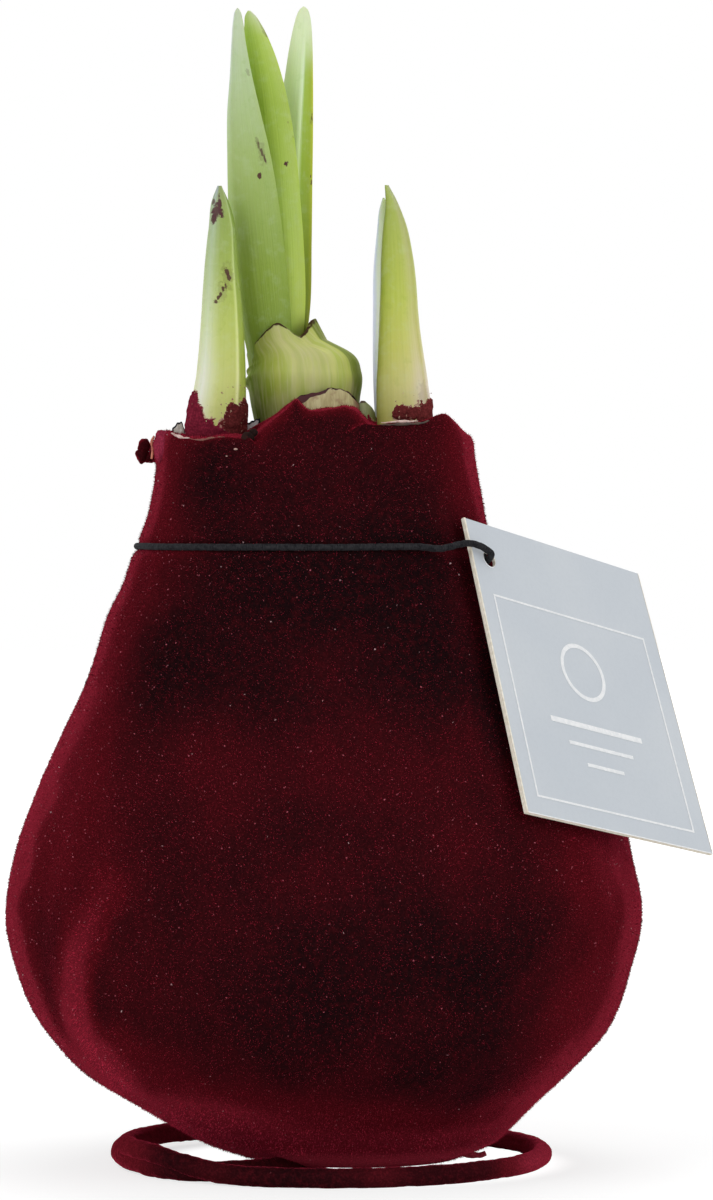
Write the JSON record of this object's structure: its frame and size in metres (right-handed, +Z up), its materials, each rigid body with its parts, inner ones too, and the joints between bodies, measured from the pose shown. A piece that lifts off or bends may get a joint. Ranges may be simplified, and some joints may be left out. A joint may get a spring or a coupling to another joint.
{
  "type": "waxed amaryllis bulb",
  "caption": "Fat round bulb under dark red velvet flock with a narrow neck, green leaves and side shoots, on a flocked wire ring, with a card tag on a cord.",
  "frame": {"origin": "on the surface the ring stands on, under the middle of the bounding box", "axes": "+Z up from the ring through the bulb to the leaf tips, +X to the right as the tag faces the viewer, +Y away from the front"},
  "size_m": [0.105, 0.0952, 0.1738],
  "materials": {
    "velvet_flock": "dark red velvet flock over wax",
    "wire_flock": "dark red velvet flock over wire",
    "leaf_green": "fresh green leaf with a faint wax bloom",
    "shoot_green": "pale yellow-green leaf, slightly glossy",
    "scale_green": "fleshy pale green bulb scale",
    "dry_scale": "dry tan papery scale",
    "card": "satin blue-grey card",
    "cord": "charcoal textile cord"
  },
  "bodies": {
    "root": {"flocked_bulb": "velvet_flock", "wire_stand": "wire_flock", "scale_collar": "scale_green", "scale_stub": "dry_scale", "leaf_left": "leaf_green", "leaf_middle": "leaf_green", "leaf_right": "leaf_green", "shoot_left": "shoot_green", "shoot_right_front": "shoot_green", "shoot_right_back": "shoot_green", "side_bud": "shoot_green", "dry_scale": "dry_scale", "papery_scale": "dry_scale", "tag": "card", "tag_cord": "cord", "cord_knot": "cord"}
  },
  "joints": []
}
